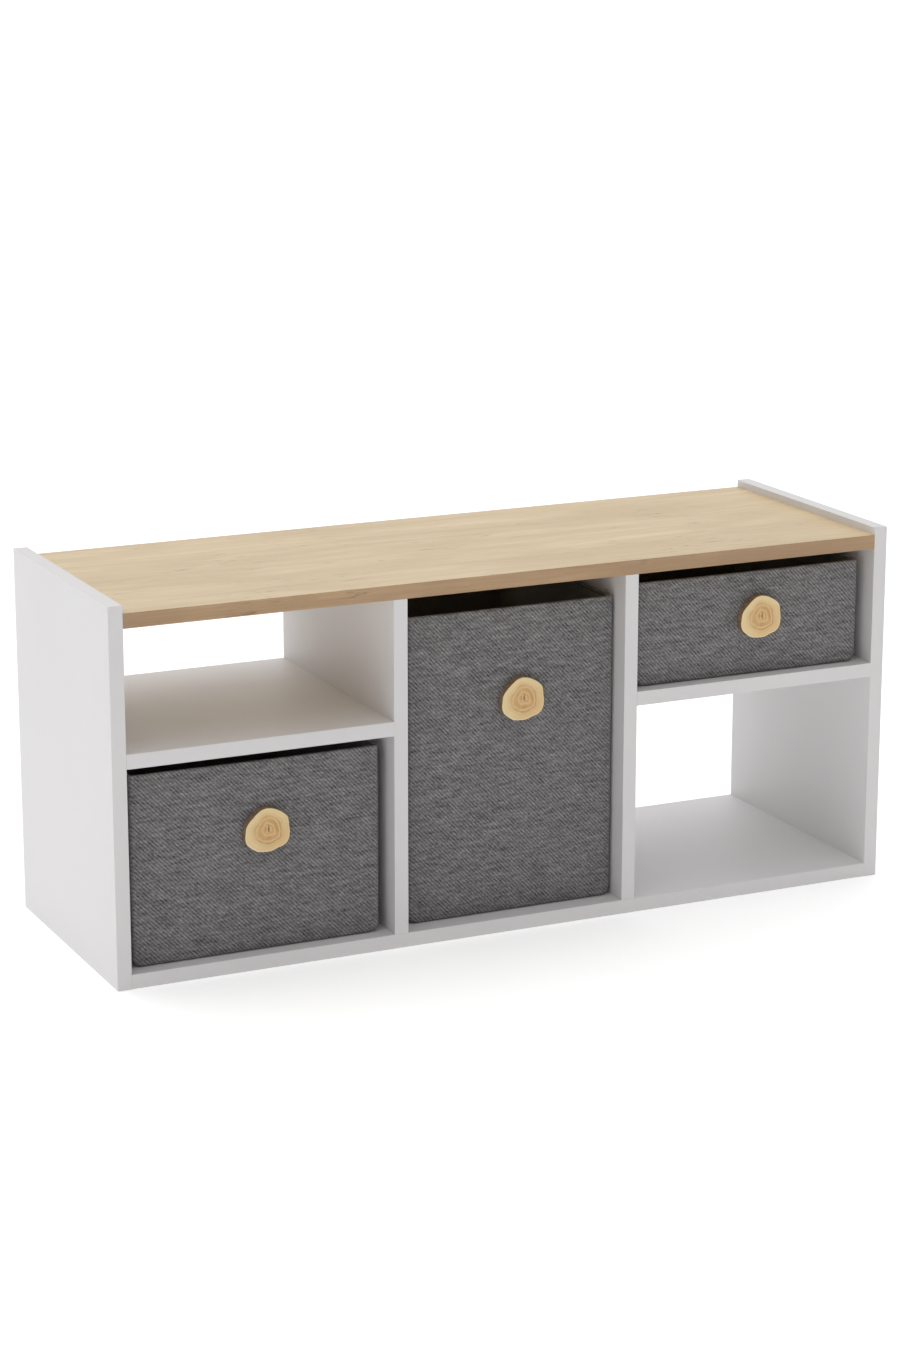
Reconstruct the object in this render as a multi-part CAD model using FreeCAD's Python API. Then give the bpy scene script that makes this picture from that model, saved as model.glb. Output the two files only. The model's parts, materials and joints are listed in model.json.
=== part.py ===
import FreeCAD, Part
import math
import os
from collections import namedtuple

# Low toy cabinet: a melamine carcass with three bays, two open cubbies and three fabric bins.
# Millimetres, +X to the right, +Y to the back, +Z up.
# The origin lies on the floor under the middle of the cabinet.

# Carcass
side_bay_width = 337.0  # clear width of each outer bay
centre_bay_width = 292.0
lower_cubby_height = 249.0  # clear height under both shelves
upper_cubby_height = 148.5  # clear height over both shelves
cabinet_depth = 345.0
board_thickness = 18.0
side_rise = 9.5  # the side panels stand this far above the top panel
band_thickness = 0.8
arris_radius = 0.6  # rounding of the edge bands' long edges

# Knock-down fittings
cam_inset = 50.0  # rows of cams and long screws, from the front and back edges
dowel_inset = 82.0  # rows of dowels, from the front and back edges
blind_skin = 6.5  # board left behind a blind hole in a face
hole_end_gap = 0.5  # free space at the bottom of a blind hole
fit_clearance = 0.1  # radial, around every fitting

cam_setback = 34.0  # cam centre, from the end of its board
cam_diameter = 15.0
cam_skin = 4.5  # board left over the cam
cam_recess = 0.3  # cam face, below the face of its board
cam_cross_length = 8.0
cam_cross_width = 1.6
cam_cross_depth = 2.2

bolt_thread_diameter = 5.0
bolt_shank_diameter = 6.0
bolt_neck_diameter = 4.0
bolt_neck_length = 4.0
bolt_head_length = 3.0

dowel_diameter = 8.0
dowel_end_depth = 19.0  # length in the end of a board
dowel_chamfer = 1.0

screw_head_diameter = 10.0
screw_head_height = 4.0
screw_shank_diameter = 7.0
screw_thread_diameter = 5.0
screw_bite = 32.0  # thread length in the divider
screw_recess = 0.5  # head, above the floor
screw_socket_width = 4.0  # across the flats
screw_socket_depth = 2.5

# Fabric bins
bin_seat_gap = 0.3  # under a bin
bin_depth_gap = 35.0  # cabinet depth that a bin leaves free, front and back together
side_bin_clearance = 11.0  # beside the bins of the outer bays
centre_bin_clearance = 8.0  # beside the bin of the centre bay
left_bin_shift = -1.4  # bin's middle, to the right of its bay's middle
centre_bin_shift = 4.4
right_bin_shift = -2.1
left_bin_headroom = 14.0
centre_bin_headroom = 30.0
right_bin_headroom = 16.0
left_bin_recess = 19.5  # bin front, behind the boards' front edges
centre_bin_recess = 26.0
right_bin_recess = 18.2
cover_thickness = 1.0
stiffener_thickness = 2.0
lining_thickness = 0.6
bin_foot_radius = 12.0  # cover's edges between its side walls and its base
bin_edge_radius = 2.0  # edges round the cover's front and back
rim_radius = 0.4
stiffener_gap = 0.3  # stiffener ends, from the cover or from the start of its rounding

# Knobs
knob_radius = 28.0
knob_thickness = 11.0
knob_edge_radius = 0.8
left_knob_shift = 10.0  # to the right of the bin's middle
centre_knob_shift = 11.0
right_knob_shift = 12.5
# Knob centre, below the bin's rim, as a share of the bin's height
left_knob_drop_share = 0.362
centre_knob_drop_share = 0.299
right_knob_drop_share = 0.440
knob_screw_diameter = 4.0
knob_screw_bite = 8.5
knob_screw_head_diameter = 8.0
knob_screw_head_height = 2.6
knob_screw_head_radius = 0.8
knob_screw_slot_width = 1.1
knob_screw_slot_depth = 1.2
washer_diameter = 14.0
washer_thickness = 1.2

# Outline of the tree slice: radius at even steps round the face, as shares of knob_radius,
# starting at the right and turning towards the top.
knob_outline_shares = (
    0.99, 0.995, 1.045, 1.01, 0.99, 0.99, 1.0, 0.985, 0.945, 0.925, 0.955, 1.005,
    1.015, 1.07, 1.08, 1.025, 1.0, 0.945, 0.925, 0.92, 0.925, 1.015, 1.06, 1.025,
)

# Working values
overrun = 5.0  # cutters reach this far past the face that they open
tolerance = 0.001

# Planes of the carcass
half_depth = cabinet_depth / 2
divider_inner = centre_bay_width / 2
divider_middle = divider_inner + board_thickness / 2
divider_outer = divider_inner + board_thickness
inner_half_width = divider_outer + side_bay_width
half_width = inner_half_width + board_thickness
floor_top = board_thickness
shelf_lower = floor_top + lower_cubby_height
shelf_upper = shelf_lower + board_thickness
top_lower = shelf_upper + upper_cubby_height
top_upper = top_lower + board_thickness
cabinet_height = top_upper + side_rise

# Sizes that follow the board
cam_height = board_thickness - cam_skin
face_hole_depth = board_thickness - blind_skin
bolt_thread_length = face_hole_depth - hole_end_gap

Vec = FreeCAD.Vector
RIGHT = Vec(1, 0, 0)
BACK = Vec(0, 1, 0)
UP = Vec(0, 0, 1)

Board = namedtuple("Board", "x_span z_span banded_top")
BinPlace = namedtuple("BinPlace", "bay floor ceiling clearance shift headroom recess "
                      "knob_shift knob_drop_share")
EndJoint = namedtuple("EndJoint", "end_board face_board x z into cam_side")


# Basic shapes

def block(x_span, y_span, z_span):
    size = [span[1] - span[0] for span in (x_span, y_span, z_span)]
    return Part.makeBox(size[0], size[1], size[2], Vec(x_span[0], y_span[0], z_span[0]))


def rod(start, direction, diameter, length):
    return Part.makeCylinder(diameter / 2, length, start, direction)


def bar(centre, along, length, across, width, through, depth):
    """Box about a centre, with its three sizes along three row axes."""
    half = along * (length / 2) + across * (width / 2) + through * (depth / 2)
    half = Vec(abs(half.x), abs(half.y), abs(half.z))
    low = centre - half
    high = centre + half
    return block((low.x, high.x), (low.y, high.y), (low.z, high.z))


def ring_hole(diameter):
    """Diameter of the hole that a fitting of this diameter turns or slides in."""
    return diameter + 2 * fit_clearance


def grown(span, margin):
    return (span[0] - margin, span[1] + margin)


# Boards and their edge bands

boards = {
    "left_side_panel": Board((-half_width, -inner_half_width), (0, cabinet_height), True),
    "right_side_panel": Board((inner_half_width, half_width), (0, cabinet_height), True),
    "top_panel": Board((-inner_half_width, inner_half_width), (top_lower, top_upper), False),
    "bottom_panel": Board((-inner_half_width, inner_half_width), (0, floor_top), False),
    "left_divider": Board((-divider_outer, -divider_inner), (floor_top, top_lower), False),
    "right_divider": Board((divider_inner, divider_outer), (floor_top, top_lower), False),
    "left_shelf": Board((-inner_half_width, -divider_outer), (shelf_lower, shelf_upper), False),
    "right_shelf": Board((divider_outer, inner_half_width), (shelf_lower, shelf_upper), False),
}
core_y_span = (band_thickness - half_depth, half_depth - band_thickness)


def board_core(board):
    top = board.z_span[1]
    if board.banded_top:
        top -= band_thickness
    return block(board.x_span, core_y_span, (board.z_span[0], top))


def arris_edges(strip, outward, run):
    """Long edges of a strip on its outer face."""
    outer_plane = max(vertex.Point.dot(outward) for vertex in strip.Vertexes)
    found = []
    for edge in strip.Edges:
        first = edge.Vertexes[0].Point
        last = edge.Vertexes[-1].Point
        on_face = all(abs(point.dot(outward) - outer_plane) < tolerance for point in (first, last))
        if on_face and abs((last - first).dot(run)) > tolerance:
            found.append(edge)
    return found


def edge_band(board):
    x_span = board.x_span
    z_span = board.z_span
    run = RIGHT if x_span[1] - x_span[0] > z_span[1] - z_span[0] else UP
    strips = [
        (block(x_span, (-half_depth, core_y_span[0]), z_span), -BACK, run),
        (block(x_span, (core_y_span[1], half_depth), z_span), BACK, run),
    ]
    if board.banded_top:
        top_strip = block(x_span, core_y_span, (z_span[1] - band_thickness, z_span[1]))
        strips.append((top_strip, UP, BACK))
    rounded = [
        strip.makeFillet(arris_radius, arris_edges(strip, outward, along))
        for strip, outward, along in strips
    ]
    return Part.makeCompound(rounded)


# Fittings that join the end of one board to the face of another

def middle(board_name):
    low, high = boards[board_name].z_span
    return (low + high) / 2


end_joints = []
for panel in ("top_panel", "bottom_panel"):
    end_joints.append(EndJoint(panel, "left_side_panel", -inner_half_width, middle(panel), RIGHT, -UP))
    end_joints.append(EndJoint(panel, "right_side_panel", inner_half_width, middle(panel), -RIGHT, -UP))
shelf_middle = middle("left_shelf")
end_joints += [
    EndJoint("left_shelf", "left_side_panel", -inner_half_width, shelf_middle, RIGHT, -UP),
    EndJoint("left_shelf", "left_divider", -divider_outer, shelf_middle, -RIGHT, -UP),
    EndJoint("right_shelf", "right_divider", divider_outer, shelf_middle, RIGHT, -UP),
    EndJoint("right_shelf", "right_side_panel", inner_half_width, shelf_middle, -RIGHT, -UP),
    EndJoint("left_divider", "top_panel", -divider_middle, top_lower, -UP, RIGHT),
    EndJoint("right_divider", "top_panel", divider_middle, top_lower, -UP, -RIGHT),
]
# The dividers' feet have dowels and long screws, and no cams.
foot_joints = [
    EndJoint("left_divider", "bottom_panel", -divider_middle, floor_top, UP, None),
    EndJoint("right_divider", "bottom_panel", divider_middle, floor_top, UP, None),
]


def rows(inset):
    return (inset - half_depth, half_depth - inset)


def seats(joints, inset):
    """Each joint with the points where its fittings cross from board to board."""
    for joint in joints:
        for y in rows(inset):
            yield joint, Vec(joint.x, y, joint.z)


def cam_face_centre(joint, seat):
    return seat + joint.into * cam_setback + joint.cam_side * (board_thickness / 2)


def cam_housing(joint, seat):
    face = cam_face_centre(joint, seat) - joint.cam_side * cam_recess
    body = rod(face, -joint.cam_side, cam_diameter, cam_height - cam_recess)
    bolt_way = rod(seat, joint.into, ring_hole(bolt_shank_diameter), cam_setback + bolt_head_length)
    body = body.cut(bolt_way)
    sideways = joint.into.cross(joint.cam_side)
    slot_centre = face - joint.cam_side * (cam_cross_depth / 2)
    for along, across in ((joint.into, sideways), (sideways, joint.into)):
        slot = bar(slot_centre, along, cam_cross_length, across, cam_cross_width,
                   joint.cam_side, cam_cross_depth)
        body = body.cut(slot)
    return body


def cam_bolt(joint, seat):
    head_start = cam_setback - bolt_head_length / 2
    neck_start = head_start - bolt_neck_length
    thread = rod(seat, -joint.into, bolt_thread_diameter, bolt_thread_length)
    shank = rod(seat, joint.into, bolt_shank_diameter, neck_start)
    neck = rod(seat + joint.into * neck_start, joint.into, bolt_neck_diameter, bolt_neck_length)
    head = rod(seat + joint.into * head_start, joint.into, bolt_shank_diameter, bolt_head_length)
    return thread.multiFuse([shank, neck, head])


def cam_cutters(joint, seat):
    thread_hole = rod(seat, -joint.into, ring_hole(bolt_thread_diameter), face_hole_depth)
    shank_hole = rod(seat, joint.into, ring_hole(bolt_shank_diameter), cam_setback)
    mouth = cam_face_centre(joint, seat) + joint.cam_side * overrun
    cam_hole = rod(mouth, -joint.cam_side, ring_hole(cam_diameter), cam_height + overrun)
    return [(joint.face_board, thread_hole), (joint.end_board, shank_hole), (joint.end_board, cam_hole)]


def dowel(joint, seat):
    start = seat - joint.into * (face_hole_depth - hole_end_gap)
    length = face_hole_depth - hole_end_gap + dowel_end_depth
    peg = rod(start, joint.into, dowel_diameter, length)
    rims = [edge for edge in peg.Edges if edge.isClosed()]
    return peg.makeChamfer(dowel_chamfer, rims)


def dowel_cutters(joint, seat):
    diameter = ring_hole(dowel_diameter)
    face_hole = rod(seat, -joint.into, diameter, face_hole_depth)
    end_hole = rod(seat, joint.into, diameter, dowel_end_depth + hole_end_gap)
    return [(joint.face_board, face_hole), (joint.end_board, end_hole)]


def hexagon(centre, across_flats, height):
    corner_radius = across_flats / math.sqrt(3)
    corners = []
    for step in range(7):
        angle = math.radians(60 * step)
        corners.append(centre + Vec(math.cos(angle), math.sin(angle), 0) * corner_radius)
    return Part.Face(Part.makePolygon(corners)).extrude(UP * height)


def foot_screw(seat):
    base = Vec(seat.x, seat.y, screw_recess)
    head = Part.makeCone(screw_head_diameter / 2, screw_shank_diameter / 2, screw_head_height, base, UP)
    neck_start = base + UP * screw_head_height
    shank = rod(neck_start, UP, screw_shank_diameter, floor_top - neck_start.z)
    thread = rod(seat, UP, screw_thread_diameter, screw_bite)
    return head.multiFuse([shank, thread]).cut(hexagon(base, screw_socket_width, screw_socket_depth))


def foot_screw_cutters(joint, seat):
    base = Vec(seat.x, seat.y, 0)
    through = rod(base, UP, ring_hole(screw_shank_diameter), floor_top)
    mouth = rod(base, UP, ring_hole(screw_head_diameter), screw_recess)
    sink = Part.makeCone(ring_hole(screw_head_diameter) / 2, ring_hole(screw_shank_diameter) / 2,
                         screw_head_height, base + UP * screw_recess, UP)
    thread_hole = rod(seat, UP, ring_hole(screw_thread_diameter), screw_bite + hole_end_gap)
    cuts = [("bottom_panel", cutter) for cutter in (through, mouth, sink)]
    return cuts + [(joint.end_board, thread_hole)]


def make_carcass():
    cutters = {name: [] for name in boards}
    fittings = {"cam_housings": [], "cam_bolts": [], "wood_dowels": [], "divider_foot_screws": []}

    def cut_later(pairs):
        for board_name, cutter in pairs:
            cutters[board_name].append(cutter)

    for joint, seat in seats(end_joints, cam_inset):
        fittings["cam_housings"].append(cam_housing(joint, seat))
        fittings["cam_bolts"].append(cam_bolt(joint, seat))
        cut_later(cam_cutters(joint, seat))
    for joint, seat in seats(end_joints + foot_joints, dowel_inset):
        fittings["wood_dowels"].append(dowel(joint, seat))
        cut_later(dowel_cutters(joint, seat))
    for joint, seat in seats(foot_joints, cam_inset):
        fittings["divider_foot_screws"].append(foot_screw(seat))
        cut_later(foot_screw_cutters(joint, seat))

    nodes = {}
    for name, board in boards.items():
        nodes[name] = board_core(board).cut(cutters[name])
        nodes[name + "_edge_band"] = edge_band(board)
    for name, solids in fittings.items():
        nodes[name] = Part.makeCompound(solids)
    return nodes


# Fabric bins

bins = {
    "left_bin": BinPlace((-inner_half_width, -divider_outer), floor_top, shelf_lower,
                         side_bin_clearance, left_bin_shift, left_bin_headroom,
                         left_bin_recess, left_knob_shift, left_knob_drop_share),
    "centre_bin": BinPlace((-divider_inner, divider_inner), floor_top, top_lower,
                           centre_bin_clearance, centre_bin_shift, centre_bin_headroom,
                           centre_bin_recess, centre_knob_shift, centre_knob_drop_share),
    "right_bin": BinPlace((divider_outer, inner_half_width), shelf_upper, top_lower,
                          side_bin_clearance, right_bin_shift, right_bin_headroom,
                          right_bin_recess, right_knob_shift, right_knob_drop_share),
}
lining_offset = cover_thickness + stiffener_thickness
wall_thickness = lining_offset + lining_thickness


def trough(x_span, y_span, z_span, foot_radius):
    """Block whose lower edges along Y are rounded."""
    solid = block(x_span, y_span, z_span)
    feet = [
        edge for edge in solid.Edges
        if edge.BoundBox.ZMax < z_span[0] + tolerance and edge.BoundBox.YLength > tolerance
    ]
    return solid.makeFillet(foot_radius, feet)


def inset_trough(x_span, y_span, floor, top, inset):
    return trough(grown(x_span, -inset), grown(y_span, -inset), (floor + inset, top), bin_foot_radius - inset)


def rounded_ends(solid, top):
    """The trough with its front and back outlines rounded, all but their top edges."""
    outline = [
        edge for edge in solid.Edges
        if edge.BoundBox.YLength < tolerance and edge.BoundBox.ZMin < top - tolerance
    ]
    return solid.makeFillet(bin_edge_radius, outline)


def rounded_rim(solid, top):
    rim = [edge for edge in solid.Edges if edge.BoundBox.ZMin > top - tolerance]
    return solid.makeFillet(rim_radius, rim)


def bin_cover(x_span, y_span, z_span):
    floor, top = z_span
    outside = rounded_ends(trough(x_span, y_span, z_span, bin_foot_radius), top)
    hollow = inset_trough(x_span, y_span, floor, top - cover_thickness, cover_thickness)
    mouth = inset_trough(x_span, y_span, floor, top + overrun, wall_thickness)
    return rounded_rim(outside, top).cut([hollow, mouth])


def bin_lining(x_span, y_span, z_span):
    floor, top = z_span
    outside = inset_trough(x_span, y_span, floor, top - cover_thickness, lining_offset)
    return outside.cut(inset_trough(x_span, y_span, floor, top + overrun, wall_thickness))


def bin_stiffeners(x_span, y_span, z_span):
    """Flat boards in the four walls and the base, between cover and lining."""
    floor, top = z_span
    board_top = top - cover_thickness
    foot_reach = bin_foot_radius + stiffener_gap
    wall_inset = cover_thickness + stiffener_gap
    end_x = grown(x_span, -wall_inset)
    end_z = (floor + wall_inset, board_top)
    between_ends = grown(y_span, -lining_offset)

    def layer(span, at_low):
        if at_low:
            return (span[0] + cover_thickness, span[0] + lining_offset)
        return (span[1] - lining_offset, span[1] - cover_thickness)

    return {
        "front_board": trough(end_x, layer(y_span, True), end_z, bin_foot_radius - wall_inset),
        "back_board": trough(end_x, layer(y_span, False), end_z, bin_foot_radius - wall_inset),
        "left_board": block(layer(x_span, True), between_ends, (floor + foot_reach, board_top)),
        "right_board": block(layer(x_span, False), between_ends, (floor + foot_reach, board_top)),
        "base_board": block(grown(x_span, -foot_reach), between_ends, layer(z_span, True)),
    }


def knob_slice(centre):
    """Tree slice standing on the bin's front, with a blind hole for its screw."""
    points = []
    step = 2 * math.pi / len(knob_outline_shares)
    for index, share in enumerate(knob_outline_shares):
        radius = knob_radius * share
        points.append(centre + Vec(math.cos(index * step), 0, math.sin(index * step)) * radius)
    outline = Part.BSplineCurve()
    outline.interpolate(points, PeriodicFlag=True)
    disc = Part.Face(Part.Wire(outline.toShape())).extrude(-BACK * knob_thickness)
    face_y = centre.y - knob_thickness
    rim = [edge for edge in disc.Edges if edge.BoundBox.YMax < face_y + tolerance]
    disc = disc.makeFillet(knob_edge_radius, rim)
    pilot = rod(centre, -BACK, ring_hole(knob_screw_diameter), knob_screw_bite + hole_end_gap)
    return disc.cut(pilot)


def knob_screw(centre):
    """Pan-head screw from inside the bin, through washer and wall into the knob."""
    head_seat = centre + BACK * (wall_thickness + washer_thickness)
    shank = rod(head_seat, -BACK, knob_screw_diameter, wall_thickness + washer_thickness + knob_screw_bite)
    head = rod(head_seat, BACK, knob_screw_head_diameter, knob_screw_head_height)
    head_top = head_seat.y + knob_screw_head_height
    rim = [edge for edge in head.Edges if edge.BoundBox.YMin > head_top - tolerance]
    head = head.makeFillet(knob_screw_head_radius, rim)
    slot_centre = head_seat + BACK * (knob_screw_head_height - knob_screw_slot_depth / 2)
    slot = bar(slot_centre, RIGHT, knob_screw_head_diameter + overrun, UP, knob_screw_slot_width,
               BACK, knob_screw_slot_depth)
    return head.cut(slot).fuse(shank)


def knob_washer(centre):
    seat = centre + BACK * wall_thickness
    disc = rod(seat, BACK, washer_diameter, washer_thickness)
    return disc.cut(rod(seat, BACK, ring_hole(knob_screw_diameter), washer_thickness))


def make_bin(place):
    bay_low, bay_high = grown(place.bay, -place.clearance)
    x_span = (bay_low + place.shift, bay_high + place.shift)
    front = place.recess - half_depth
    y_span = (front, front + cabinet_depth - bin_depth_gap)
    z_span = (place.floor + bin_seat_gap, place.ceiling - place.headroom)
    knob_x = (x_span[0] + x_span[1]) / 2 + place.knob_shift
    knob_drop = place.knob_drop_share * (z_span[1] - z_span[0])
    knob_centre = Vec(knob_x, front, z_span[1] - knob_drop)

    pieces = {
        "cover": bin_cover(x_span, y_span, z_span),
        "lining": bin_lining(x_span, y_span, z_span),
    }
    pieces.update(bin_stiffeners(x_span, y_span, z_span))
    screw_way = rod(knob_centre, BACK, ring_hole(knob_screw_diameter), wall_thickness + overrun)
    for name in ("cover", "front_board", "lining"):
        pieces[name] = pieces[name].cut(screw_way)
    pieces["knob"] = knob_slice(knob_centre)
    pieces["knob_screw"] = knob_screw(knob_centre)
    pieces["knob_washer"] = knob_washer(knob_centre)
    return pieces


def main():
    nodes = make_carcass()
    for bin_name, place in bins.items():
        for piece, shape in make_bin(place).items():
            nodes[bin_name + "_" + piece] = shape
    os.makedirs("parts", exist_ok=True)
    for name, shape in nodes.items():
        shape.exportStep("parts/" + name + ".step")
        bounds = shape.BoundBox
        print(name, len(shape.Solids), "solids, valid", shape.isValid(), "volume", round(shape.Volume),
              "x", round(bounds.XMin, 1), round(bounds.XMax, 1),
              "y", round(bounds.YMin, 1), round(bounds.YMax, 1),
              "z", round(bounds.ZMin, 1), round(bounds.ZMax, 1))


main()
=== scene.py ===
import bpy
import json
import math
from mathutils import Euler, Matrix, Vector, noise


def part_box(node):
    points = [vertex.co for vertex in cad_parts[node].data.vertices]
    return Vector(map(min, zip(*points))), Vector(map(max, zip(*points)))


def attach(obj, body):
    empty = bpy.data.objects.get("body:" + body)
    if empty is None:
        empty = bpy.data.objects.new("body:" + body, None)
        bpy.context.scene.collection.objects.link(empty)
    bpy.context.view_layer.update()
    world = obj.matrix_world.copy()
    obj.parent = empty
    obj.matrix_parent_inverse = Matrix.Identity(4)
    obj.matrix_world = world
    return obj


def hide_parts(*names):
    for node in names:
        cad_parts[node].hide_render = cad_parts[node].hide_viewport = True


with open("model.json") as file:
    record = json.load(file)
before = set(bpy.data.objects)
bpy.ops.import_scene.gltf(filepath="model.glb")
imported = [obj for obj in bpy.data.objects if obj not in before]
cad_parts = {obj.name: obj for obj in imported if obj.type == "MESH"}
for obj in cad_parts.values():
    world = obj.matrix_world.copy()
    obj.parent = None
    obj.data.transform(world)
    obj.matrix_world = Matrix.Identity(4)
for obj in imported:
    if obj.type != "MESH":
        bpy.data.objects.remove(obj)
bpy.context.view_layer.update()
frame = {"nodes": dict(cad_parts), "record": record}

# The looks of a low toy cabinet: melamine boards, an oak-look top and three fabric bins.
# Metres, +X to the right, +Y to the back, +Z up, as in the frame.

bin_names = ("left_bin", "centre_bin", "right_bin")

# Camera, fitted to the boards' edges in the photograph. Angles in radians, the sensor in millimetres
photo_height = 1350
camera_place = Vector((-1.7098, -3.6126, 1.3191))
camera_yaw = 0.4399
camera_pitch = 0.2534
camera_focal_pixels = 3287.26
camera_sensor = 36.0

# Studio: a glowing floor and broad lobes of light (way and strength), fitted to the boards' tones
floor_half_size = 60.0
floor_colour = (0.95, 0.95, 0.95, 1.0)
floor_glow = 0.34
light_colour = (1.0, 1.0, 1.0, 1.0)
lobe_power = 2.0
light_lobes = (
    ((0, 0, 1), 1.00),
    ((0, 1, 1), 0.98),
    ((-1, 0, 1), 0.16),
    ((-1, -1, 0), 0.24),
    ((1, 1, 0), 0.08),
)

# In the values of the looks, a length is a noise's wave length, and lengths are one for each axis.
# A range is where a noise or a place starts and stops to count, then what it gives there if not 0 and 1.
# A bump is a strength and a depth.
noise_mean = 0.5

# Melamine of the boards
cloud_length = 0.21
cloud_range = (0.35, 0.65)
pearl_length = 0.0011
pearl_range = (0.3, 0.7)
pearl_bump = (0.12, 0.0001)

# Oak print of the top panel and its edge band, with lengths along, across and through the grain
oak_bend_lengths = (0.45, 0.09, 0.09)
oak_bend_reach = 0.03
oak_streak_length = 0.42
oak_top_streak_width = 0.016
oak_band_streak_width = 0.0055
oak_streak_range = (0.28, 0.70)
oak_patch_lengths = (0.19, 0.065, 0.065)
oak_patch_range = (0.42, 0.62, 0.0, 0.8)
oak_board_lengths = (0.9, 0.060, 0.060)
oak_board_range = (0.42, 0.72, 0.0, 0.45)
oak_fibre_lengths = (0.060, 0.0016, 0.0016)
oak_fibre_range = (0.35, 0.75, 0.0, 0.25)
oak_fibre_relief_share = 0.35
oak_gloss_range = (0.3, 0.7)
oak_pore_lengths = (0.014, 0.00055, 0.00055)
oak_pore_range = (0.62, 0.74, 0.0, 0.40)
oak_pore_place_lengths = (0.11, 0.020, 0.020)
oak_pore_place_range = (0.45, 0.65)
oak_fleck_lengths = (0.026, 0.0042, 0.0042)
oak_fleck_range = (0.58, 0.72)
oak_fleck_place_lengths = (0.13, 0.055, 0.055)
oak_fleck_place_range = (0.50, 0.62, 0.0, 0.8)
oak_bump = (0.10, 0.0001)

# Twill of the covers, with lengths across the cloth, up it and, as 1, through it
thread_across = 0.00126
thread_up = 0.00133
twill_repeat = 4
cloth_tone = 0.36
weft_tones = (0.385, 0.485)
warp_tones = (0.27, 0.33)
wale_contrast = 0.094
worn_lengths = (0.010, 0.006, 1.0)
worn_range = (0.35, 0.65)
worn_share = 0.25
yarn_unevenness = (
    ((0.0038, 0.0029, 1.0), 0.38),
    ((0.011, 0.005, 1.0), 0.24),
    ((0.026, 0.0042, 1.0), 0.28),
    ((0.060, 0.018, 1.0), 0.14),
)
cloth_tone_power = 1.35
cloth_bump = (0.25, 0.0003)

# Spun cloth of the linings, with its lengths as on the covers
spun_fibre_lengths = (0.0016, 0.0016, 1.0)
spun_fibre_range = (0.3, 0.7)
spun_fibre_relief_share = 0.5
bond_lengths = (0.0022, 0.0022, 1.0)
bond_randomness = 0.15
bond_range = (0.12, 0.34)
spun_bump = (0.35, 0.0003)

# End grain of the knobs, with radii as shares of the way from the pith to the bark
pith_place = Vector((0.0012, 0.0, 0.0024))
drift_length = 0.016
drift_range = (0.3, 0.7)
drift_share = 0.06
ring_wave = 36.0
ring_unevenness = 12.0
ring_unevenness_share = 0.2
ring_range = (-0.4, 1.0, 0.0, 0.56)
pale_ring_range = (-1.0, -0.2, 0.3, 0.0)
ring_relief_share = 0.6
fade_length = 0.010
fade_range = (0.34, 0.58, 0.3, 1.0)
heart_range = (0.60, 0.76, 1.0, 0.08)
sapwood_range = (0.45, 0.85)
lower_right_range = (-0.022, 0.026)
lower_right_ring_range = (0.0, 1.0, 0.6, 1.0)
lower_right_sapwood_range = (0.5, 1.0, 1.0, 0.45)
# Pale band just inside the outline of the knob's face: a painted highlight of its rounded rim
rim_highlight_range = (0.90, 0.98, 0.0, 0.8)
end_fibre_length = 0.0011
end_fibre_range = (0.35, 0.75, 0.0, 0.18)
end_gloss_range = (0.3, 0.7, 0.5, 0.68)
end_grain_bump = (0.15, 0.0002)
main_crack_half_width = 0.0009
main_crack_half_length = 0.0050
side_crack_half_width = 0.0007
side_crack_half_length = 0.0032
side_crack_shift = 0.0044
side_crack_depth_share = 0.6
crack_edge_shares = (0.5, 1.6)
crack_end_share = 0.6
# Share of painted shade in the cracks
crack_shade_share = 0.8
crack_relief = 2.0

# Bark of the knobs
ridge_lengths = (0.0016, 0.0075, 0.0016)
ridge_range = (0.35, 0.7)
pale_bark_length = 0.006
pale_bark_range = (0.5, 0.75, 0.0, 0.4)
bark_bump = (0.6, 0.0006)

# Stiffener boards, dowels and metal fittings
pulp_length = 0.004
pulp_range = (0.35, 0.65)
pulp_bump = (0.2, 0.0003)
dowel_fibre_lengths = (0.012, 0.0012, 0.0012)
dowel_fibre_range = (0.35, 0.65)
dowel_bump = (0.2, 0.0002)
casting_length = 0.0013
casting_range = (0.3, 0.7)
casting_bump = (0.15, 0.0001)

# Shapes of the covers
cover_thickness = 0.0010
cover_foot_radius = 0.012
cover_edge_radius = 0.0034
cover_cell = 0.006
foot_cell = 0.0017
edge_steps = 4
crown_power = 0.6
cover_bulge = 0.0006
cover_wave = 0.0006
cover_wave_length = 0.070
cover_wave_rise_share = 0.25
rim_width = 0.0042
rim_height = 0.0015
rim_tuck = 0.0020
rim_steps = 8
rim_corner_radius = 0.0003
rim_sag = 0.0006
rim_sag_reach = 0.030
rim_wave_length = 0.140
knob_pull_inner = 0.022
knob_pull_outer = 0.065

# Shapes of the linings
lining_thickness = 0.0006
lining_inset = 0.0036
lining_edge_radius = 0.001
lining_cell = 0.010
lining_slack = 0.0012
lining_slack_reach = 0.020
lining_wave_length = 0.055

# Seeds of the sheets' waves
bin_seed_step = 11
cover_seed = 1
lining_seed = 5
rim_seed_step = 3

# Shapes of the knobs, with the waves of their relief counted for each metre
slice_sectors = 144
slice_face_rings = 30
slice_edge_steps = 5
slice_side_rows = 10
slice_edge_radius = 0.0009
slice_back_share = 0.1
slice_rim_share = 0.25
slice_bark_depth = 0.0005
slice_bark_waves_round = 900
slice_bark_waves_through = 130
slice_bark_seed = 7
slice_face_relief = 0.00012
slice_face_waves = 260


# Materials

def paint(red, green, blue):
    """Linear colour of three 0 to 255 display values, by the sRGB curve."""
    def linear(value):
        share = value / 255
        return share / 12.92 if share <= 0.04045 else ((share + 0.055) / 1.055) ** 2.4
    return (linear(red), linear(green), linear(blue), 1.0)


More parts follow.
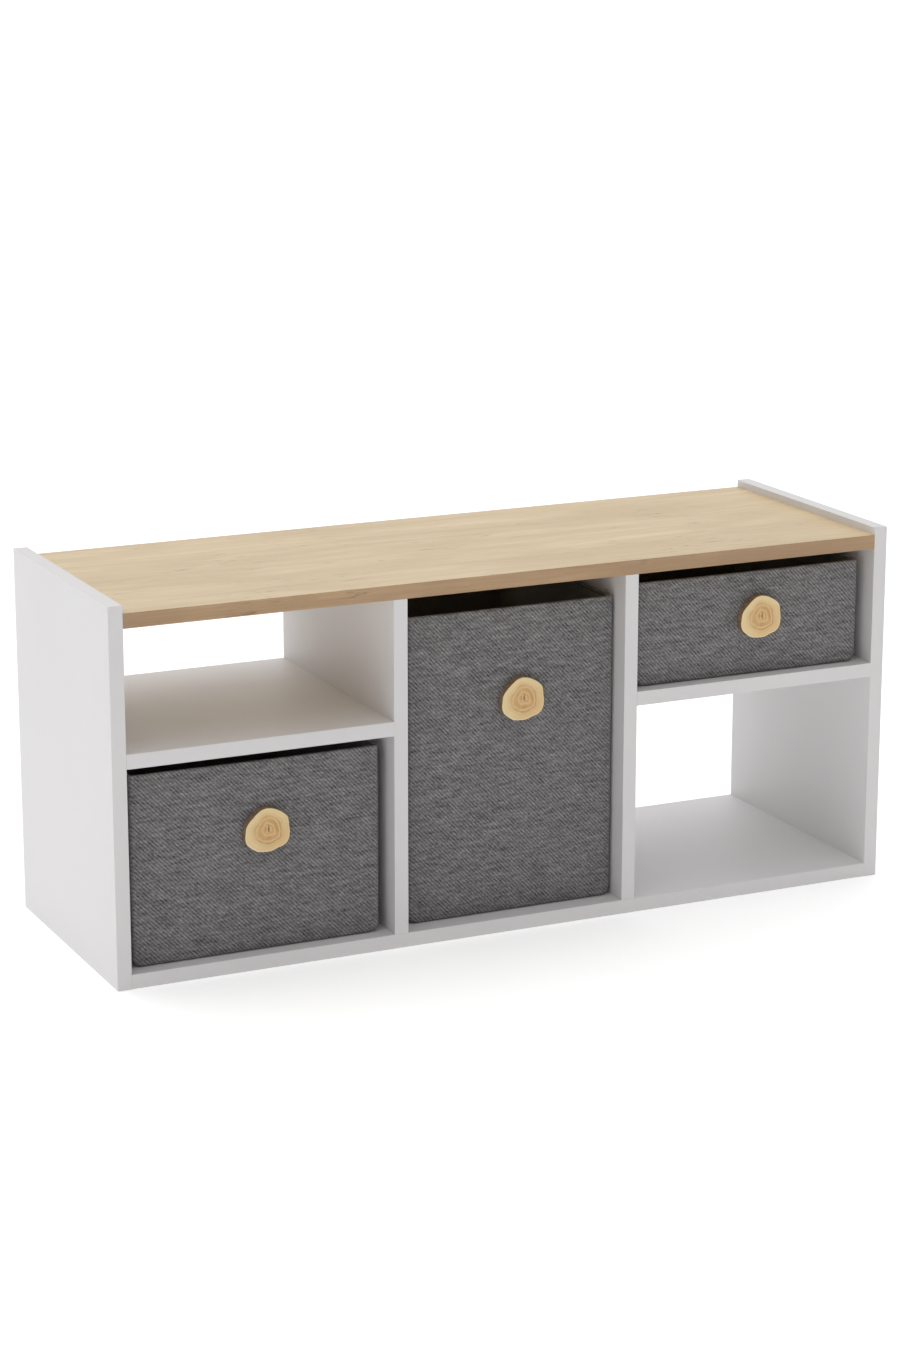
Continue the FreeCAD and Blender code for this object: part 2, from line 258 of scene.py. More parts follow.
class Nodes:
    """Short ways to add and link the nodes of one tree."""

    # A Mix node's two inputs and its output for each type of data
    mix_sockets = {"FLOAT": (2, 3, 0), "RGBA": (6, 7, 2)}

    def __init__(self, tree):
        self.tree = tree

    def node(self, kind, values=None, **settings):
        made = self.tree.nodes.new("ShaderNode" + kind)
        for name, value in settings.items():
            setattr(made, name, value)
        for socket, value in (values or {}).items():
            self.feed(made.inputs[socket], value)
        return made

    def feed(self, socket, value):
        if isinstance(value, bpy.types.NodeSocket):
            self.tree.links.new(value, socket)
        else:
            socket.default_value = value

    def math(self, operation, first, second=0.0):
        return self.node("Math", {0: first, 1: second}, operation=operation).outputs[0]

    def product(self, first, *others):
        for other in others:
            first = self.math("MULTIPLY", first, other)
        return first

    def axes(self, vector):
        return self.node("SeparateXYZ", {0: vector}).outputs[:]

    def vector(self, *axes):
        return self.node("CombineXYZ", dict(zip("XYZ", axes))).outputs[0]

    def scaled(self, vector, lengths):
        """Coordinates in which each of the three lengths is one unit."""
        values = {"Vector": vector, "Scale": [1 / length for length in lengths]}
        return self.node("Mapping", values).outputs[0]

    def noise(self, vector, lengths, detail=2.0, roughness=0.5):
        """Noise with that wave length, or with one for each axis."""
        if isinstance(lengths, float):
            lengths = (lengths,) * 3
        values = {"Vector": self.scaled(vector, lengths), "Scale": 1.0, "Detail": detail,
                  "Roughness": roughness}
        return self.node("TexNoise", values).outputs[0]

    def random(self, *axes):
        """A value from 0 to 1 for each set of whole numbers."""
        return self.node("TexWhiteNoise", {"Vector": self.vector(*axes)}).outputs["Value"]

    def span(self, value, low, high, to_low=0.0, to_high=1.0, smooth=False):
        """A value mapped from one range to another, and held inside it."""
        kind = "SMOOTHSTEP" if smooth else "LINEAR"
        values = {"Value": value, "From Min": low, "From Max": high, "To Min": to_low, "To Max": to_high}
        return self.node("MapRange", values, interpolation_type=kind).outputs[0]

    def mix(self, share, first, second, data_type="RGBA"):
        first_input, second_input, output = self.mix_sockets[data_type]
        values = {0: share, first_input: first, second_input: second}
        return self.node("Mix", values, data_type=data_type).outputs[output]

    def between(self, share, first, second):
        return self.mix(share, first, second, "FLOAT")


class Look(Nodes):
    """One procedural material."""

    def __init__(self, name, **shader_values):
        self.material = bpy.data.materials.new(name)
        self.material.use_nodes = True
        super().__init__(self.material.node_tree)
        self.shader = self.tree.nodes["Principled BSDF"]
        for socket, value in shader_values.items():
            self.shader.inputs[socket.replace("_", " ")].default_value = value

    def set(self, socket, value):
        self.feed(self.shader.inputs[socket], value)

    def place(self):
        return self.node("TexCoord").outputs["Object"]

    def attribute(self, name, output="Fac"):
        return self.node("Attribute", attribute_name=name).outputs[output]

    def bump(self, height, strength, depth):
        made = self.node("Bump", {"Height": height, "Strength": strength, "Distance": depth})
        self.set("Normal", made.outputs[0])


def melamine(name, pale, deep, roughness_range):
    """Satin melamine: a fine pearl texture in relief and gloss, and a faint cloudiness in tone."""
    look = Look(name, Specular_IOR_Level=0.5)
    place = look.place()
    cloud = look.noise(place, cloud_length, detail=3.0)
    pearl = look.noise(place, pearl_length)
    look.set("Base Color", look.mix(look.span(cloud, *cloud_range), deep, pale))
    look.set("Roughness", look.span(pearl, *pearl_range, *roughness_range))
    look.bump(pearl, *pearl_bump)
    return look.material


def oak(name, pale, mid, deep, fleck, streak_width, roughness_range):
    """Printed oak: long soft streaks and fibres along X, fine pores and a few short flecks."""
    look = Look(name, Specular_IOR_Level=0.7)
    place = look.place()
    bend = look.noise(place, oak_bend_lengths)
    sideways = look.span(bend, 0.0, 1.0, -oak_bend_reach, oak_bend_reach)
    shift = look.vector(0.0, sideways, 0.0)
    grain = look.node("VectorMath", {0: place, 1: shift}, operation="ADD").outputs[0]

    streak = look.noise(grain, (oak_streak_length, streak_width, streak_width), detail=4.0, roughness=0.55)
    patch = look.noise(grain, oak_patch_lengths, detail=3.0, roughness=0.6)
    board = look.noise(grain, oak_board_lengths)
    fibre = look.noise(grain, oak_fibre_lengths, detail=3.0, roughness=0.6)
    pore = look.noise(grain, oak_pore_lengths, detail=1.0)
    pore_place = look.noise(grain, oak_pore_place_lengths)
    fleck_shape = look.noise(grain, oak_fleck_lengths, detail=3.0, roughness=0.55)
    fleck_place = look.noise(grain, oak_fleck_place_lengths, detail=1.0)

    colour = look.mix(look.span(streak, *oak_streak_range), mid, pale)
    colour = look.mix(look.span(patch, *oak_patch_range), colour, mid)
    colour = look.mix(look.span(board, *oak_board_range), colour, deep)
    colour = look.mix(look.span(fibre, *oak_fibre_range), colour, deep)
    pore_share = look.product(look.span(pore, *oak_pore_range),
                              look.span(pore_place, *oak_pore_place_range))
    colour = look.mix(pore_share, colour, fleck)
    fleck_share = look.product(look.span(fleck_shape, *oak_fleck_range, smooth=True),
                               look.span(fleck_place, *oak_fleck_place_range))
    look.set("Base Color", look.mix(fleck_share, colour, fleck))
    look.set("Roughness", look.span(fibre, *oak_gloss_range, *roughness_range))
    fibre_relief = look.math("MULTIPLY", fibre, oak_fibre_relief_share)
    look.bump(look.math("SUBTRACT", fibre_relief, pore_share), *oak_bump)
    return look.material


def hump(look, value, length):
    """A sine that leaves 0 and comes back to it over that length."""
    return look.math("SINE", look.math("MULTIPLY", value, math.pi / length))


def weave(look, across, up, warp, weft):
    """Where the weft lies on top of the warp, and the height of the upper thread."""
    half_repeat = twill_repeat / 2

    def along_float(position, crossing):
        """0 to 2 on the stretch where a thread lies on top, 2 to 4 where it dives."""
        turned = look.math("DIVIDE", look.math("ADD", position, crossing), twill_repeat)
        return look.math("MULTIPLY", look.math("FRACT", turned), twill_repeat)

    def thread_height(beside, along):
        return look.product(hump(look, look.math("FRACT", beside), 1.0), hump(look, along, half_repeat))

    weft_height = thread_height(up, along_float(across, weft))
    warp_height = thread_height(across, look.math("SUBTRACT", along_float(up, warp), half_repeat))
    # Half a thread keeps the limit clear of the whole numbers
    weft_on_top = look.math("LESS_THAN", along_float(warp, weft), half_repeat - 0.5)
    height = look.math("MAXIMUM", look.between(weft_on_top, warp_height, weft_height), 0.0)
    return weft_on_top, height


def twill(name, dark, light):
    """Two-over-two twill: pale weft floats on a darker warp, with uneven yarn and worn patches."""
    look = Look(name, Roughness=0.92, Specular_IOR_Level=0.25, Sheen_Weight=0.12, Sheen_Roughness=0.5)
    cloth = look.attribute("cloth", "Vector")
    across, up, _ = look.axes(look.scaled(cloth, (thread_across, thread_up, 1.0)))
    warp = look.math("FLOOR", across)
    weft = look.math("FLOOR", up)
    wale = look.math("FLOOR", look.math("DIVIDE", look.math("ADD", warp, weft), twill_repeat))
    weft_on_top, height = weave(look, across, up, warp, weft)

    weft_tone = look.span(look.random(wale, weft, 0.0), 0.0, 1.0, *weft_tones)
    warp_tone = look.span(look.random(wale, warp, 1.0), 0.0, 1.0, *warp_tones)
    tone = look.between(weft_on_top, warp_tone, weft_tone)
    wale_line = hump(look, look.math("ADD", across, up), twill_repeat / 2)
    tone = look.math("ADD", tone, look.math("MULTIPLY", wale_line, wale_contrast))
    worn = look.noise(cloth, worn_lengths)
    tone = look.between(look.span(worn, *worn_range, worn_share, 1.0), cloth_tone, tone)
    for lengths, contrast in yarn_unevenness:
        yarn = look.noise(cloth, lengths, detail=1.0, roughness=0.6)
        change = look.math("MULTIPLY", look.math("SUBTRACT", yarn, noise_mean), contrast)
        tone = look.math("ADD", tone, change)
    tone = look.math("POWER", look.math("MAXIMUM", tone, 0.0), cloth_tone_power)
    look.set("Base Color", look.mix(tone, dark, light))
    look.bump(height, *cloth_bump)
    return look.material


def non_woven(name, pale, deep):
    """Dark spun lining with a fine grid of bonding points."""
    look = Look(name, Roughness=0.7, Specular_IOR_Level=0.3, Sheen_Weight=0.05)
    cloth = look.attribute("cloth", "Vector")
    fibres = look.noise(cloth, spun_fibre_lengths, detail=4.0, roughness=0.65)
    bonds = look.node("TexVoronoi", {"Vector": look.scaled(cloth, bond_lengths), "Scale": 1.0,
                                     "Randomness": bond_randomness})
    pits = look.span(bonds.outputs["Distance"], *bond_range, smooth=True)
    look.set("Base Color", look.mix(look.span(fibres, *spun_fibre_range), deep, pale))
    fibre_relief = look.math("MULTIPLY", fibres, spun_fibre_relief_share)
    look.bump(look.math("ADD", pits, fibre_relief), *spun_bump)
    return look.material


def slice_rings(look, spot, radius, lower_right):
    """Shares of the dark ring lines and of the pale wood between them, both mostly in the heart."""
    spacing = look.noise(look.vector(radius, 0.0, 0.0), ring_unevenness_share)
    phase = look.math("ADD", look.math("MULTIPLY", radius, ring_wave),
                      look.math("MULTIPLY", spacing, ring_unevenness))
    rings = look.math("SINE", phase)
    fade = look.noise(spot, fade_length)
    in_heart = look.span(radius, *heart_range, smooth=True)
    ring_share = look.product(look.span(rings, *ring_range), look.span(fade, *fade_range),
                              look.span(lower_right, *lower_right_ring_range), in_heart)
    pale_share = look.product(look.span(rings, *pale_ring_range), in_heart)
    return ring_share, pale_share


def slice_cracks(look, right, up, drift):
    """Depth of the cracks from 0 to 1: one at the pith and a fainter one to its left."""
    def crack(centre_x, half_width, half_length):
        bend = look.span(drift, *drift_range, -half_width, half_width)
        bent = look.math("ADD", look.math("SUBTRACT", right, centre_x), bend)
        edges = [half_width * share for share in crack_edge_shares]
        beside = look.span(look.math("ABSOLUTE", bent), *edges, 1.0, 0.0, smooth=True)
        height = look.math("ABSOLUTE", look.math("SUBTRACT", up, pith_place.z))
        return look.product(beside, look.span(height, half_length * crack_end_share, half_length, 1.0, 0.0))

    main_crack = crack(pith_place.x, main_crack_half_width, main_crack_half_length)
    side_crack = crack(pith_place.x - side_crack_shift, side_crack_half_width, side_crack_half_length)
    return look.math("MAXIMUM", main_crack, look.math("MULTIPLY", side_crack, side_crack_depth_share))


def slice_face(name, sapwood, heartwood, ring_line, pith, rim_highlight):
    """Sanded end grain: a few soft rings in the heart, pale sapwood, short cracks near the pith darkened
    with painted shade, and a painted highlight round the rim.
    """
    look = Look(name, Specular_IOR_Level=0.4)
    spot = look.attribute("slice", "Vector")
    right, _, up = look.axes(spot)
    reach = look.attribute("ring")
    drift = look.noise(spot, drift_length)
    radius = look.math("ADD", reach, look.span(drift, *drift_range, -drift_share, drift_share))
    lower_right = look.span(look.math("SUBTRACT", right, up), *lower_right_range, smooth=True)
    ring_share, pale_share = slice_rings(look, spot, radius, lower_right)
    fibre = look.noise(spot, end_fibre_length, detail=3.0)
    cracks = slice_cracks(look, right, up, drift)

    sapwood_share = look.product(look.span(radius, *sapwood_range, smooth=True),
                                 look.span(lower_right, *lower_right_sapwood_range))
    colour = look.mix(sapwood_share, heartwood, sapwood)
    colour = look.mix(pale_share, colour, sapwood)
    colour = look.mix(ring_share, colour, ring_line)
    # Painted highlight: a pale cream band along the rim of the face
    colour = look.mix(look.span(reach, *rim_highlight_range, smooth=True), colour, rim_highlight)
    colour = look.mix(look.span(fibre, *end_fibre_range), colour, ring_line)
    # Painted shade: the cracks take the pith's dark brown
    look.set("Base Color", look.mix(look.math("MULTIPLY", cracks, crack_shade_share), colour, pith))
    look.set("Roughness", look.span(fibre, *end_gloss_range))
    relief = look.math("ADD", look.math("MULTIPLY", ring_share, -ring_relief_share),
                       look.math("MULTIPLY", cracks, -crack_relief))
    look.bump(look.math("ADD", relief, fibre), *end_grain_bump)
    return look.material


def bark(name, pale, deep):
    """Thin bark with ridges that run through the slice."""
    look = Look(name, Roughness=0.88, Specular_IOR_Level=0.3)
    spot = look.attribute("slice", "Vector")
    ridges = look.noise(spot, ridge_lengths, detail=4.0, roughness=0.6)
    patches = look.noise(spot, pale_bark_length)
    colour = look.mix(look.span(ridges, *ridge_range), deep, pale)
    look.set("Base Color", look.mix(look.span(patches, *pale_bark_range), colour, pale))
    look.bump(ridges, *bark_bump)
    return look.material


def grey_board(name, pale, deep):
    look = Look(name, Roughness=0.9, Specular_IOR_Level=0.2)
    pulp = look.noise(look.place(), pulp_length, detail=5.0, roughness=0.7)
    look.set("Base Color", look.mix(look.span(pulp, *pulp_range), deep, pale))
    look.bump(pulp, *pulp_bump)
    return look.material


def bare_wood(name, pale, deep):
    look = Look(name, Roughness=0.6, Specular_IOR_Level=0.35)
    fibres = look.noise(look.place(), dowel_fibre_lengths, detail=3.0, roughness=0.6)
    look.set("Base Color", look.mix(look.span(fibres, *dowel_fibre_range), deep, pale))
    look.bump(fibres, *dowel_bump)
    return look.material


def metal(name, pale, deep, metallic, roughness_range):
    look = Look(name, Metallic=metallic)
    casting = look.noise(look.place(), casting_length, detail=4.0, roughness=0.65)
    look.set("Base Color", look.mix(look.span(casting, *casting_range), deep, pale))
    look.set("Roughness", look.span(casting, *casting_range, *roughness_range))
    look.bump(casting, *casting_bump)
    return look.material


looks = {
    "white_melamine": melamine(
        "white_melamine", pale=(0.755, 0.740, 0.742, 1), deep=(0.735, 0.720, 0.722, 1),
        roughness_range=(0.38, 0.48)),
    "white_edge_band": melamine(
        "white_edge_band", pale=(0.755, 0.740, 0.738, 1), deep=(0.735, 0.720, 0.718, 1),
        roughness_range=(0.34, 0.42)),
    # The top's oak is painted lighter and its edge band's darker than one print: partly the band's own
    # deeper tone, partly painted light on the top and painted shade on the front
    "oak_melamine": oak(
        "oak_melamine", pale=(0.80, 0.63, 0.39, 1), mid=(0.635, 0.47, 0.255, 1),
        deep=(0.53, 0.375, 0.19, 1), fleck=(0.36, 0.225, 0.11, 1),
        streak_width=oak_top_streak_width, roughness_range=(0.30, 0.38)),
    "oak_edge_band": oak(
        "oak_edge_band", pale=(0.60, 0.39, 0.21, 1), mid=(0.435, 0.27, 0.138, 1),
        deep=(0.29, 0.172, 0.083, 1), fleck=(0.22, 0.13, 0.06, 1),
        streak_width=oak_band_streak_width, roughness_range=(0.38, 0.48)),
    "grey_fabric": twill(
        "grey_fabric", dark=(0.016, 0.015, 0.0155, 1), light=(0.665, 0.645, 0.65, 1)),
    "black_lining": non_woven(
        "black_lining", pale=(0.24, 0.215, 0.19, 1), deep=(0.165, 0.148, 0.13, 1)),
    "stiffener_board": grey_board(
        "stiffener_board", pale=(0.46, 0.41, 0.34, 1), deep=(0.36, 0.31, 0.25, 1)),
    # The pale rim colour of the knob is a painted highlight, and its pith colour is painted shade in the
    # cracks
    "tree_slice": slice_face(
        "tree_slice", sapwood=paint(240, 215, 163), heartwood=paint(226, 187, 132),
        ring_line=paint(172, 124, 70), pith=paint(116, 78, 46), rim_highlight=paint(248, 230, 184)),
    "bark": bark(
        "bark", pale=paint(172, 140, 106), deep=paint(118, 90, 64)),
    "beech": bare_wood(
        "beech", pale=(0.66, 0.48, 0.30, 1), deep=(0.54, 0.37, 0.22, 1)),
    "zinc": metal(
        "zinc", pale=(0.74, 0.73, 0.72, 1), deep=(0.66, 0.65, 0.64, 1), metallic=0.35,
        roughness_range=(0.55, 0.70)),
    "steel": metal(
        "steel", pale=(0.74, 0.74, 0.75, 1), deep=(0.64, 0.64, 0.65, 1), metallic=1.0,
        roughness_range=(0.22, 0.34)),
}


def dress_cad_nodes():
    """Each CAD node takes the look of its own material slot."""
    for subpart in frame["record"]["subparts"]:
        node = frame["nodes"][subpart["node"]]
        for material_slot in node.material_slots:
            material_slot.material = looks[subpart["material_slot"]]


def added(name, data):
    """A new object of the scene with that data."""
    made = bpy.data.objects.new(name, data)
    bpy.context.scene.collection.objects.link(made)
    return made


# Sheets of the bins

def smooth_step(value, low, high):
    share = min(max((value - low) / (high - low), 0.0), 1.0)
    return share * share * (3 - 2 * share)


def unit_noise(place):
    """Smooth noise from 0 to 1."""
    return 0.5 + 0.5 * noise.noise(place)


def soft_noise(point, length, seed):
    """Smooth noise from 0 to 1 with that wave length. Each seed moves to another part of it."""
    return unit_noise(point / length + Vector((seed, 2 * seed, 3 * seed)))


def crown(share):
    """0 at both ends of a side and 1 over its middle."""
    return math.sin(math.pi * min(max(share, 0.0), 1.0)) ** crown_power


def spaced(start, stop, cell):
    """Even steps from start up to but not at stop, none longer than cell."""
    count = max(1, math.ceil((stop - start) / cell))
    return [start + (stop - start) * n / count for n in range(count)]


def rounding_lines(radius):
    """Grid lines that turn a square edge into even steps of a round one."""
    return [radius - radius * math.tan(math.pi / 4 * (1 - n / edge_steps)) for n in range(edge_steps)]


def mirrored_lines(length, end, end_length, cell):
    """Grid lines across a side with the same end at both sides."""
    middle = spaced(end_length, length - end_length, cell)
    return end + middle + [length - end_length] + [length - place for place in reversed(end)]


class Trough:
    """Open box as one sheet. Its lower side edges have a large radius, and the outlines of its front
    and back a small one."""

    # The way that the cloth runs across each wall
    ways = {"front": Vector((1, 0, 0)), "right": Vector((0, 1, 0)),
            "back": Vector((-1, 0, 0)), "left": Vector((0, -1, 0))}

    def __init__(self, low, high, foot_radius, edge_radius, cell, wall_top):
        self.low = low
        self.high = high
        self.size = high - low
        self.foot_radius = foot_radius
        self.edge_radius = edge_radius
        self.points = []
        self.normals = []
        self.ups = []
        self.faces = []
        self.cloth = []
        edge = rounding_lines(edge_radius)
        foot = edge + spaced(edge_radius, foot_radius, foot_cell)
        wall_height = wall_top - low.z
        self.x_lines = mirrored_lines(self.size.x, foot, foot_radius, cell)
        self.y_lines = mirrored_lines(self.size.y, edge, edge_radius, cell)
        self.z_lines = foot + spaced(foot_radius, wall_height, cell) + [wall_height]
        self.make_walls()
        self.make_base()

    def drawn_in(self, x, z):
        """A point of the square front drawn in to the rounded outline: its place, its depth in
        from the outline, and the way out to it."""
        radius = self.foot_radius
        corner = Vector((min(max(x, self.low.x + radius), self.high.x - radius),
                         max(z, self.low.z + radius)))
        arm = Vector((x, z)) - corner
        if arm.x and arm.y:
            reach = max(abs(arm.x), abs(arm.y))
            return corner + arm.normalized() * reach, radius - reach, arm.normalized()
        sides = ((x - self.low.x, (-1, 0)), (self.high.x - x, (1, 0)), (z - self.low.z, (0, -1)))
        depth, way = min(sides)
        return Vector((x, z)), depth, Vector(way)

    def add_point(self, i, j, height):
        """Point of the square box, drawn in to the rounded one."""
        y = self.low.y + self.y_lines[j]
        place, depth, way = self.drawn_in(self.low.x + self.x_lines[i], self.low.z + height)
        to_end = min(self.y_lines[j], self.size.y - self.y_lines[j])
        end_way = -1 if j < len(self.y_lines) / 2 else 1
        out = self.edge_radius - depth
        ahead = self.edge_radius - to_end
        if out > 0 and ahead > 0:
            stretch = self.edge_radius / math.hypot(out, ahead)
            place += way * (out * (stretch - 1))
            y += end_way * ahead * (stretch - 1)
            normal = Vector((way.x * out, end_way * ahead, way.y * out)).normalized()
        elif out > 0:
            normal = Vector((way.x, 0, way.y))
        else:
            normal = Vector((0, end_way, 0))
        self.points.append(Vector((place.x, y, place.y)))
        self.normals.append(normal)
        self.ups.append(place.y)
        return len(self.points) - 1

    def make_walls(self):
        last_i = len(self.x_lines) - 1
        last_j = len(self.y_lines) - 1
        self.columns = [(i, 0, "front") for i in range(last_i)]
        self.columns += [(last_i, j, "right") for j in range(last_j)]
        self.columns += [(i, last_j, "back") for i in range(last_i, 0, -1)]
        self.columns += [(0, j, "left") for j in range(last_j, 0, -1)]
        self.rows = []
        for height in self.z_lines:
            self.add_row([self.add_point(i, j, height) for i, j, _ in self.columns])

    def add_row(self, row):
        """One more row of points round the walls, joined to the row below it."""
        if self.rows:
            lower = self.rows[-1]
            for column, (_, _, side) in enumerate(self.columns):
                beside = (column + 1) % len(self.columns)
                corners = (lower[column], lower[beside], row[beside], row[column])
                self.faces.append(corners)
                for corner in corners:
                    across = self.ways[side].dot(self.points[corner])
                    self.cloth.append((across, self.ups[corner], 0.0))
        self.rows.append(row)

    def add_rim_row(self, inset, height, up):
        """One more row above the walls, drawn in from their outline by inset."""
        radius = max(self.edge_radius - inset, rim_corner_radius)
        reach = self.foot_radius

        def moved_in(place, length):
            """A grid line's place on the smaller outline, where the lines near a corner close up."""
            near = min(place, length - place)
            if near < self.edge_radius:
                moved = inset + near * radius / self.edge_radius
            elif near < reach:
                share = (near - self.edge_radius) / (reach - self.edge_radius)
                moved = inset + radius + share * (reach - inset - radius)
            else:
                moved = near
            return moved if place < length / 2 else length - moved

        row = []
        for i, j, _ in self.columns:
            x = moved_in(self.x_lines[i], self.size.x)
            y = moved_in(self.y_lines[j], self.size.y)
            core = Vector((min(max(x, inset + radius), self.size.x - inset - radius),
                           min(max(y, inset + radius), self.size.y - inset - radius)))
            normal = (Vector((x, y)) - core).normalized()
            place = core + normal * radius
            self.points.append(Vector((self.low.x + place.x, self.low.y + place.y, height)))
            self.normals.append(Vector((normal.x, normal.y, 0)))
            self.ups.append(up)
            row.append(len(self.points) - 1)
        self.add_row(row)

    def make_base(self):
        edge = {(i, j): point for (i, j, _), point in zip(self.columns, self.rows[0])}
        x_count = len(self.x_lines)
        y_count = len(self.y_lines)
        grid = [[edge[i, j] if (i, j) in edge else self.add_point(i, j, 0.0) for j in range(y_count)]
                for i in range(x_count)]
        for i in range(x_count - 1):
            for j in range(y_count - 1):
                corners = (grid[i][j], grid[i][j + 1], grid[i + 1][j + 1], grid[i + 1][j])
                self.faces.append(corners)
                self.cloth += [(self.points[corner].x, self.points[corner].y, 0.0) for corner in corners]

    def across(self, index):
        """0 at the upright edges of a point's wall and 1 over the wall's middle."""
        axis = 0 if abs(self.normals[index].y) > abs(self.normals[index].x) else 1
        return crown((self.points[index][axis] - self.low[axis]) / self.size[axis])

    def build(self, name, thickness):
        """The mesh object, its sheet thickened inwards, or outwards if thickness is negative."""
        mesh = bpy.data.meshes.new(name)
        mesh.from_pydata(self.points, [], self.faces)
        attribute = mesh.attributes.new("cloth", "FLOAT_VECTOR", "CORNER")
        attribute.data.foreach_set("vector", [value for place in self.cloth for value in place])
        mesh.shade_smooth()
        piece = added(name, mesh)
        solid = piece.modifiers.new("thickness", "SOLIDIFY")
        solid.thickness = thickness
        solid.offset = -1.0
        solid.use_even_offset = True
        return piece


def knob_centre(bin_name):
    low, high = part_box(bin_name + "_knob_washer")
    return (low + high) / 2


def pull_of_knob(point, centre):
    """0 under the knob, where the screw holds the cloth flat, and 1 well away from it."""
    distance = math.hypot(point.x - centre.x, point.z - centre.z)
    if point.y > centre.y + knob_pull_outer:
        return 1.0
    return smooth_step(distance, knob_pull_inner, knob_pull_outer)


def soften_cover(cover, bin_name, seed):
    """Slight crowns and waves in the walls, and a rim that dips between its corners."""
    centre = knob_centre(bin_name)
    for index, point in enumerate(cover.points):
        normal = cover.normals[index]
        across = cover.across(index)
        up_share = (point.z - cover.low.z) / cover.size.z
        rise = min(1.0, up_share / cover_wave_rise_share)
        swell = cover_bulge * across * crown(up_share)
        swell += cover_wave * soft_noise(point, cover_wave_length, seed) * rise
        swell *= pull_of_knob(point, centre)
        dip = rim_sag * across * smooth_step(point.z, cover.high.z - rim_sag_reach, cover.high.z)
        dip *= soft_noise(point, rim_wave_length, seed + rim_seed_step) / noise_mean
        cover.points[index] = point + Vector((normal.x * swell, normal.y * swell, -dip))


def make_cover(bin_name, seed):
    low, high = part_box(bin_name + "_cover")
    wall_top = high.z - rim_height
    cover = Trough(low, high, cover_foot_radius, cover_edge_radius, cover_cell, wall_top)
    for step in range(1, rim_steps + 1):
        angle = math.pi * step / rim_steps
        cover.add_rim_row(rim_width / 2 * (1 - math.cos(angle)), wall_top + rim_height * math.sin(angle),
                          wall_top + rim_width * step / rim_steps)
    cover.add_rim_row(rim_width, wall_top - rim_tuck, wall_top + rim_width + rim_tuck)
    soften_cover(cover, bin_name, seed)
    piece = cover.build(bin_name + "_fabric_cover", cover_thickness)
    piece.data.materials.append(looks["grey_fabric"])
    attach(piece, bin_name)
    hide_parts(bin_name + "_cover")


def make_lining(bin_name, seed):
    cover_low, cover_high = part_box(bin_name + "_cover")
    inset = Vector((lining_inset, lining_inset, lining_inset))
    low = cover_low + inset
    high = cover_high - inset
    high.z = cover_high.z - rim_height - rim_tuck / 2
    lining = Trough(low, high, cover_foot_radius - lining_inset, lining_edge_radius, lining_cell, high.z)
    centre = knob_centre(bin_name)
    for index, point in enumerate(lining.points):
        normal = lining.normals[index]
        slack = lining_slack * soft_noise(point, lining_wave_length, seed) * pull_of_knob(point, centre)
        slack *= (smooth_step(high.z - point.z, 0.0, lining_slack_reach)
                  * smooth_step(point.z - low.z, 0.0, lining_slack_reach))
        slack *= lining.across(index)
        lining.points[index] = point - Vector((normal.x, normal.y, 0.0)) * slack
    piece = lining.build(bin_name + "_fabric_lining", -lining_thickness)
    piece.data.materials.append(looks["black_lining"])
    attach(piece, bin_name)
    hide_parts(bin_name + "_lining")


# Tree-slice knobs

def slice_outline(bin_name):
    """The CAD knob's centre on its back face, its thickness, and its radius at even angles."""
    low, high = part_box(bin_name + "_knob")
    centre = knob_centre(bin_name)
    centre.y = high.y
    back_depth = slice_edge_radius * slice_back_share
    least_reach = (high.x - low.x) * slice_rim_share
    rim = []
    for vertex in frame["nodes"][bin_name + "_knob"].data.vertices:
        arm = vertex.co - centre
        reach = math.hypot(arm.x, arm.z)
        if abs(arm.y) < back_depth and reach > least_reach:
            rim.append((math.atan2(arm.z, arm.x) % (2 * math.pi), reach))
    rim.sort()
    rim = [(rim[-1][0] - 2 * math.pi, rim[-1][1])] + rim + [(rim[0][0] + 2 * math.pi, rim[0][1])]
    radii = []
    at = 0
    for sector in range(slice_sectors):
        angle = 2 * math.pi * sector / slice_sectors
        while rim[at + 1][0] < angle:
            at += 1
        share = (angle - rim[at][0]) / (rim[at + 1][0] - rim[at][0])
        radii.append(rim[at][1] + share * (rim[at + 1][1] - rim[at][1]))
    return centre, high.y - low.y, radii


